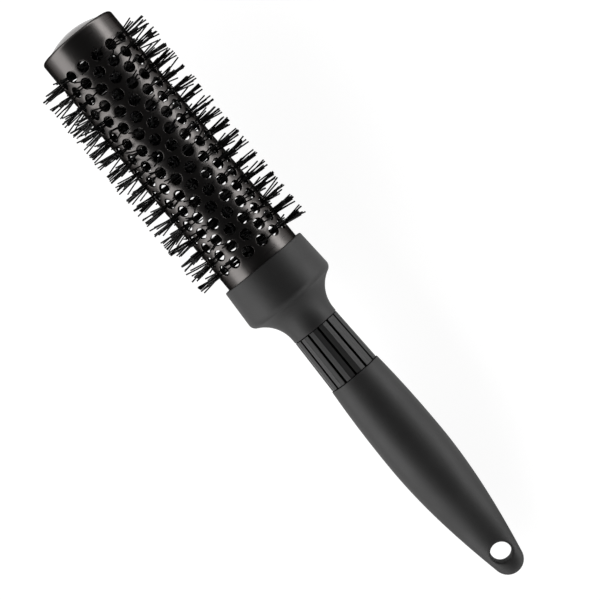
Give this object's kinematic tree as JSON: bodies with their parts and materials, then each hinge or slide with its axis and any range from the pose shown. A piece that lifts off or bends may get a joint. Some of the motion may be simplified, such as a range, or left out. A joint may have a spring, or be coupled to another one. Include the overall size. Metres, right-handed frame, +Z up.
{
  "type": "round barrel hair brush",
  "caption": "Vented round styling brush: perforated dark metal barrel with nylon bristles coming through its holes, on a soft-touch handle with ribbed neck and hanging hole.",
  "frame": {"origin": "on the surface that the brush lies on, under the middle of its outline seen from above", "axes": "+X from the end cap towards the tip of the handle, which dips by about 6 degrees as the brush rests on its last bristles and its grip; +Z up, with the hanging hole pointing up"},
  "size_m": [0.2586, 0.0498, 0.0578],
  "materials": {
    "tube_coating": "glossy dark coating on aluminium tube",
    "cap_plastic": "polished black plastic",
    "core_steel": "drawn steel wire",
    "bristle_nylon": "black nylon filament",
    "hard_plastic": "satin black moulded plastic",
    "soft_touch": "matte black soft-touch rubber"
  },
  "bodies": {
    "root": {"barrel_tube": "tube_coating", "end_cap": "cap_plastic", "core_wire_a": "core_steel", "core_wire_b": "core_steel", "handle_core": "hard_plastic", "collar_cover": "soft_touch", "grip_sleeve": "soft_touch", "bristle_ring_01": "bristle_nylon", "bristle_ring_02": "bristle_nylon", "bristle_ring_03": "bristle_nylon", "bristle_ring_04": "bristle_nylon", "bristle_ring_05": "bristle_nylon", "bristle_ring_06": "bristle_nylon", "bristle_ring_07": "bristle_nylon", "bristle_ring_08": "bristle_nylon", "bristle_ring_09": "bristle_nylon", "bristle_ring_10": "bristle_nylon", "bristle_ring_11": "bristle_nylon", "bristle_ring_12": "bristle_nylon", "bristle_ring_13": "bristle_nylon", "bristle_ring_14": "bristle_nylon", "bristle_ring_15": "bristle_nylon", "bristle_ring_16": "bristle_nylon", "bristle_ring_17": "bristle_nylon", "bristle_ring_18": "bristle_nylon"}
  },
  "joints": []
}
